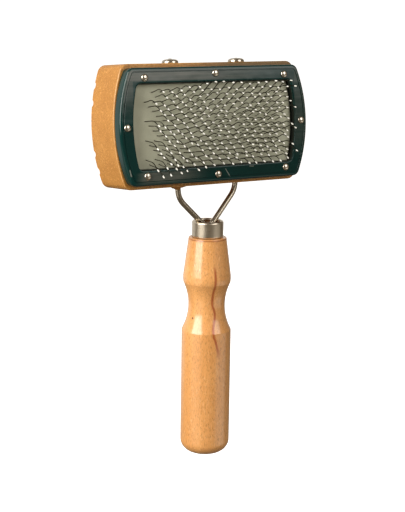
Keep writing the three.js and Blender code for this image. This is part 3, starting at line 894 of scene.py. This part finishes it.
def ferrule(material):
    low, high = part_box("ferrule")
    outside, bottom, top = high.x / MM, low.z / MM, high.z / MM
    inside = outside - FERRULE_WALL
    roll_x, roll_z = outside - FERRULE_ROLL, top - FERRULE_ROLL
    rolled = [
        (roll_x + FERRULE_ROLL * math.cos(a), roll_z + FERRULE_ROLL * math.sin(a))
        for a in steps(0, math.pi * 0.8, 14)
    ]
    profile = [
        (inside, bottom),
        (outside - 0.15, bottom),
        (outside, bottom + 0.2),
        *[(outside, z) for z in steps(bottom + 1, roll_z - 0.3, 6)],
        *rolled,
        (FERRULE_MOUTH_RADIUS - 0.1, top - 0.9),
        (FERRULE_MOUTH_RADIUS, roll_z),
        (FERRULE_MOUTH_RADIUS + 0.3, top - 1.3),
        (inside, top - 1.9),
    ]
    piece("spun_ferrule", *lathe(profile, 96, closed=True), [material], "nickel", ["ferrule"])


# ---------------------------------------------------------------- fork and its caps

def leg_point(side, height_on_block):
    """The stretch of a leg inside the head, in the head's frame."""
    t = (height_on_block + BLOCK_HEIGHT / 2) / BLOCK_HEIGHT
    spread = LEG_UNDERSIDE_SPREAD + (LEG_TOP_SPREAD - LEG_UNDERSIDE_SPREAD) * t
    return Vector((side * spread, 0, height_on_block))


def fork_leg(name, side, material):
    top = BLOCK_HEIGHT / 2
    node = "fork_leg_" + name
    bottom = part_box(node)[0].z / MM
    tenon_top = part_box("handle")[1].z / MM
    hole = leg_point(side, -top)
    corners = [
        Vector((side * TANG_SPREAD, 0, bottom)),
        Vector((side * TANG_SPREAD, 0, tenon_top)),
        head_to_row @ Vector((hole.x, 0, hole.z - KNEE_DROP[name])),
        head_to_row @ leg_point(side, top + PEEN_HEIGHT[name] - PEEN_ROUND),
    ]
    line = rounded_line(corners, LEG_BENDS, 14)
    radii = [WIRE_RADIUS] * len(line)
    up = (line[-1] - line[-2]).normalized()
    for share, radius in ((0.35, 0.97), (0.6, 0.84), (0.8, 0.6), (0.93, 0.36), (1, 0.08)):
        line.append(corners[-1] + up * PEEN_ROUND * share)
        radii.append(WIRE_RADIUS * radius)
    vertices, faces = [], []
    tube(line, radii, 28, vertices, faces)
    piece("fork_wire_" + name, vertices, faces, [material], "nickel", [node])


def cap(name, side, material):
    """A cupped washer pressed down on the block round the wire's hammered end."""
    bore = WIRE_RADIUS + 0.05
    dome = [
        (bore + (CAP_RADIUS - bore) * math.cos(a), CAP_RIM + (CAP_HEIGHT - CAP_RIM) * math.sin(a))
        for a in steps(0, math.pi / 2, 12)
    ]
    profile = [(bore, 0), (CAP_RADIUS - 0.15, 0), (CAP_RADIUS, 0.15), *dome, (bore, CAP_HEIGHT - 0.5)]
    vertices, faces = lathe(profile, 56, closed=True)
    place = leg_point(side, BLOCK_HEIGHT / 2)
    vertices = [Vector(v) + place for v in vertices]
    node = "cap_washer_" + name
    piece("domed_cap_" + name, vertices, faces, [material], "nickel", [node], leaning=True)


# ---------------------------------------------------------------- head

def frame_opening(wider):
    """The outline of the frame's opening, wider by so much all round."""
    return BowedOutline(
        OPENING_WIDTH + 2 * wider, OPENING_HEIGHT + 2 * wider, OPENING_SAG, OPENING_CORNER
    )


def grooved(x, y, z):
    """Presses the four lengthwise grooves into the back of the block."""
    for groove in BACK_GROOVES:
        across = abs(z - groove)
        if across < GROOVE_RADIUS + 0.35:
            round_part = math.sqrt(max(0, GROOVE_RADIUS**2 - across**2))
            depth = GROOVE_DEPTH - GROOVE_RADIUS + round_part if across < GROOVE_RADIUS else 0
            soft = smoothstep(across, GROOVE_RADIUS + 0.35, GROOVE_RADIUS - 0.1)
            y = min(y, BLOCK_BACK - max(depth, 0.25 * soft))
    return x, y, z


def head_block(material):
    """The block with a pocket for the felt in its face and grooves along its back."""
    outline = BowedOutline(BLOCK_WIDTH, BLOCK_HEIGHT, BLOCK_SAG, BLOCK_CORNER)
    pocket = frame_opening(-POCKET_INSET)
    front = rounded_edge(outline, BLOCK_FRONT_EDGE, BLOCK_FRONT, -1)
    back = rounded_edge(outline, BLOCK_BACK_EDGE, BLOCK_BACK, 1, 12)
    rings = [
        (pocket, 0, POCKET_FLOOR),
        (pocket, 0, BLOCK_FRONT),
        (outline, BLOCK_FRONT_EDGE + 0.4, BLOCK_FRONT),
        *reversed(front),
        *[(outline, 0, y) for y in steps(BLOCK_FRONT + 2, BLOCK_BACK - BLOCK_BACK_EDGE - 0.3, 16)],
        *back,
        (outline, BLOCK_BACK_EDGE + 0.4, BLOCK_BACK),
    ]
    vertices, faces = shell(rings, True, grooved)
    piece("wooden_block", vertices, faces, [material], "block_wood", ["head_block"], leaning=True)


def plastic_frame(material):
    """A moulded frame with a rounded edge, a fine line round its face and a rebate over the rubber."""
    outer = BowedOutline(FRAME_WIDTH, FRAME_HEIGHT, FRAME_SAG, FRAME_CORNER)
    opening = frame_opening(0)
    edge = rounded_edge(outer, FRAME_EDGE, FRAME_FRONT, -1, 8)
    line = FRAME_FRONT + LINE_DEPTH
    soft = 0.08
    lip = [
        (opening, -LIP_EDGE * (1 - math.sin(a)), FRAME_FRONT + LIP_EDGE * (1 - math.cos(a)))
        for a in steps(0, math.pi / 2, 6)
    ]
    pressed = RUBBER[1] - 0.3
    rings = [
        (outer, 0, FRAME_BACK),
        (outer, 0, FRAME_FRONT + 3),
        *edge,
        (outer, LINE_INSET - soft, FRAME_FRONT),
        (outer, LINE_INSET, FRAME_FRONT + soft),
        (outer, LINE_INSET + soft, line),
        (outer, LINE_INSET + LINE_WIDTH - soft, line),
        (outer, LINE_INSET + LINE_WIDTH, FRAME_FRONT + soft),
        (outer, LINE_INSET + LINE_WIDTH + soft, FRAME_FRONT),
        (outer, LINE_INSET + LINE_WIDTH + 0.5, FRAME_FRONT),
        (opening, -LIP_EDGE - 0.5, FRAME_FRONT),
        *lip,
        (opening, 0, FRAME_FRONT + 2),
        (opening, 0, pressed - 0.1),
        (opening, -0.1, pressed),
        (opening, -REBATE, pressed),
        (opening, -REBATE, FRAME_BACK),
    ]
    vertices, faces = shell(rings[::-1], False)
    piece("moulded_frame", vertices, faces, [material], "green_plastic", ["frame"], leaning=True)


def pin_place(row, i):
    """Where a pin goes through the sheets. Each row is a step to the side of the one above it."""
    x = FIRST_PIN_X + ((row + 2) % STEP_PERIOD) * ROW_STEP + i * PIN_PITCH
    return x, ROWS_MIDDLE + ((PIN_ROWS - 1) / 2 - row) * ROW_PITCH


def pad_crown(x, z):
    """How far the rubber stands proud of its flat rim."""
    along = min(1, abs(x) / (OPENING_WIDTH / 2))
    across = min(1, abs(z) / (OPENING_HEIGHT / 2))
    return PAD_CROWN * (1 - along**2.6) * (1 - across**2.2)


def layers(rubber, canvas, wool):
    """The rubber pad, the canvas behind it and the felt in the pocket."""
    grown = frame_opening(PAD_OVERLAP)
    pocket = frame_opening(-FELT_INSET)
    places = kdtree.KDTree(PIN_ROWS * PINS_PER_ROW)
    for row in range(PIN_ROWS):
        for i in range(PINS_PER_ROW):
            x, z = pin_place(row, i)
            places.insert((x, 0, z), row * PINS_PER_ROW + i)
    places.balance()

    def pierced(x, y, z):
        """Crowns the rubber's face and draws it in a little round every pin."""
        if y > RUBBER[1] + 0.3:
            return x, y, z
        away = places.find((x, 0, z))[2]
        pucker = 0.28 * math.exp(-((away / 0.55) ** 2)) - 0.05 * math.exp(-(((away - 1.1) / 0.4) ** 2))
        ripple = 0.12 * noise.noise(Vector((x * 0.12, 0, z * 0.12)))
        rim = smoothstep(abs(x), OPENING_WIDTH / 2 + 1, OPENING_WIDTH / 2 - 6)
        return x, y - pad_crown(x, z) + pucker + ripple * rim, z

    face = [(grown, 0.3, RUBBER[1]), (grown, 0.05, RUBBER[1] + 0.1), (grown, 0, RUBBER[1] + 0.35)]
    back = [(grown, 0, RUBBER[0] - 0.1), (grown, 0.2, RUBBER[0])]
    vertices, faces = shell(face + back, True, pierced)
    pad = piece("rubber_sheet", vertices, faces, [rubber], "pad_rubber", ["rubber_pad"], leaning=True)

    front, behind = CANVAS[1], CANVAS[0]
    rings = [(grown, 0.1, front), (grown, 0, front + 0.1), (grown, 0, behind - 0.1), (grown, 0.1, behind)]
    vertices, faces = shell(rings, True)
    cloth_piece = piece("canvas_sheet", vertices, faces, [canvas], "canvas", ["canvas_backing"], leaning=True)

    front, behind = FELT[1], FELT[0]
    rings = [(pocket, 0.8, front), (pocket, 0.2, front + 0.3), (pocket, 0, front + 0.9)]
    rings += [(pocket, 0, behind - 0.6), (pocket, 0.4, behind)]

    def woolly(x, y, z):
        return x, y + 0.12 * noise.noise(Vector((x * 0.6, y * 0.6, z * 0.6))), z

    vertices, faces = shell(rings, True, woolly)
    felt_piece = piece("felt_layer", vertices, faces, [wool], "felt", ["felt_underlay"], leaning=True)


# ---------------------------------------------------------------- pins

GROUND_PLACES = (1.9, 1.7, 1.2, 0.5, 0.12, 0)       # distances back from the point
GROUND_SHAPE = (1, 1.45, 1.6, 1.5, 1.0, 0.4)        # the radius there, in shares of PIN_RADIUS


def pin_line(x, z, chance):
    """The centre line of one pin: through the sheets, out to its knee, and down to its point. Its lean
    follows its neighbours', and a few pins are bent further."""
    along_row = x / (OPENING_WIDTH / 2)
    lifted = smoothstep(along_row, LIFT_FROM, LIFT_TO)
    clump = noise.noise(Vector((x * 0.09, z * 0.16, 4.0)))
    clump_side = noise.noise(Vector((x * 0.1, z * 0.12, 9.0)))
    sideways = 0.06 * clump_side + chance.gauss(0, 0.02)
    upwards = FAN_UP * z / (OPENING_HEIGHT / 2) + LIFT_LEFT + (LIFT_RIGHT - LIFT_LEFT) * lifted
    upwards += 0.09 * clump + chance.gauss(0, 0.025)
    if chance.random() < 0.05:
        sideways += chance.uniform(-0.1, 0.1)
        upwards += chance.uniform(-0.14, 0.1)
    through = (CANVAS[0] + RUBBER[1]) / 2
    turn = chance.gauss(0, 0.06)

    def at(y, drop=0):
        forward = through - y
        return Vector((x + forward * sideways + drop * turn, y, z + forward * upwards - drop))

    knee = RUBBER[1] - SHANK_LENGTH - chance.gauss(0, 0.15)
    corners = (at(CANVAS[1]), at(knee), at(knee - POINT_FORWARD, POINT_DROP + chance.gauss(0, 0.25)))
    line = rounded_line(corners, (KNEE_BEND,), 6)
    bow = Vector((chance.gauss(0, 0.12), 0, chance.gauss(0, 0.12) - 0.1))
    shank = [line[0].lerp(line[1], t) + bow * math.sin(math.pi * t) for t in (0.25, 0.5, 0.75)]
    last = (line[-1] - line[-2]).normalized()
    point = [line[-1] - last * back for back in GROUND_PLACES]
    return [line[0], *shank, *line[1:-1], *point]


def pins(steel, ground):
    """Bent steel pins with thickened, ground points painted near-white as a glint, a row to a piece."""
    for row in range(PIN_ROWS):
        chance = random.Random(100 + row)
        vertices, faces = [], []
        ground_faces = []
        for i in range(PINS_PER_ROW):
            line = pin_line(*pin_place(row, i), chance)
            radii = [PIN_RADIUS] * (len(line) - len(GROUND_SHAPE)) + [PIN_RADIUS * t for t in GROUND_SHAPE]
            first = len(faces)
            tube(line, radii, PIN_SIDES, vertices, faces)
            sides = (len(line) - 1) * PIN_SIDES
            ground_faces += range(first + sides - (len(GROUND_SHAPE) - 1) * PIN_SIDES, first + sides + 2)
        node = f"pin_row_{row + 1:02d}"
        made = piece(
            f"bent_pins_{row + 1:02d}", vertices, faces, [steel, ground], "pin_steel", [node], leaning=True
        )
        for face in ground_faces:
            made.data.polygons[face].material_index = 1


# ---------------------------------------------------------------- tacks and the glue at the left leg

def tacks(material):
    """Domed tacks, each driven through the frame."""
    dome = [
        (TACK_RADIUS * math.cos(a), TACK_RIM + (TACK_HEIGHT - TACK_RIM) * math.sin(a))
        for a in steps(0, math.pi / 2, 10)[:-1]
    ]
    shank = [(0, -TACK_SHANK_LENGTH), (TACK_SHANK_RADIUS, -TACK_SHANK_LENGTH)]
    profile = [*shank, (TACK_SHANK_RADIUS, 0), (TACK_RADIUS - 0.1, 0), (TACK_RADIUS, 0.1)]
    profile += [*dome, (0, TACK_HEIGHT)]
    forwards = Matrix.Rotation(math.pi / 2, 4, "X")
    for name, (x, z) in TACKS.items():
        vertices, faces = lathe(profile, 40)
        place = Vector((x, FRAME_FRONT - 0.02, z))
        vertices = [forwards @ Vector(v) + place for v in vertices]
        piece(
            "domed_tack_" + name, vertices, faces, [material], "nickel", ["tack_" + name], leaning=True
        )


def glue_collar(material):
    """A ragged ring of torn wood and glue where the left leg enters the block."""
    around = leg_point(-1, -BLOCK_HEIGHT / 2)
    profile = [(WIRE_RADIUS - 0.2, 0.3)]
    profile += [(WIRE_RADIUS + 2.3 * t, -1.5 * (1 - t) ** 0.7) for t in steps(0, 1, 8)]
    profile += [(WIRE_RADIUS + 2.2, 0.3)]
    vertices, faces = lathe(profile, 48, closed=True)
    shaped = []
    for x, y, z in vertices:
        ragged = 1 + 0.45 * noise.noise(Vector((x * 0.5, y * 0.5, 2.0)))
        crumbs = 0.35 * noise.noise(Vector((x * 1.6, y * 1.6, z)))
        lower = z * ragged * (1.15 if x < 0 else 0.8) + (crumbs if z < 0 else 0)
        shaped.append(Vector((x * (1.3 * ragged), y * ragged, lower)) + around)
    piece("glue_collar_left", shaped, faces, [material], "block_wood", leaning=True)


# ---------------------------------------------------------------- the whole scene

def build():
    wood, block = handle_wood(), block_wood()
    plating = nickel("plated_wire", (0.52, 0.46, 0.37), 0.18, 0.26, (0.6, 0.6, 2.5))
    spun = nickel("spun_nickel", (0.74, 0.66, 0.54), 0.26, 0.34, (0.2, 0.2, 4.0))
    domes = nickel("nickel_domes", (0.68, 0.62, 0.53), 0.16, 0.3, (1.5, 1.5, 1.5))
    steel = nickel("pin_wire", (0.075, 0.07, 0.052), 0.3, 0.42, (1.0, 1.0, 1.0))
    # The pins' ground points: bare ground steel, painted near-white as the glint of light on the tips.
    ground = nickel("ground_points_painted_glint", (1.0, 0.99, 0.93), 0.45, 0.6, (3.0, 3.0, 3.0), 0.25)
    canvas = cloth("canvas_weave", (0.42, 0.38, 0.28), (0.25, 0.22, 0.16), 1.4)
    handle(wood)
    ferrule(spun)
    for name, side in (("left", -1), ("right", 1)):
        fork_leg(name, side, plating)
        cap(name, side, domes)
    head_block(block)
    plastic_frame(green_plastic())
    layers(pad_rubber(), canvas, felt())
    pins(steel, ground)
    tacks(domes)
    glue_collar(block)


camera()
lights()
world()
floor()
build()
bpy.context.scene.view_settings.view_transform = "Standard"
bpy.context.view_layer.update()
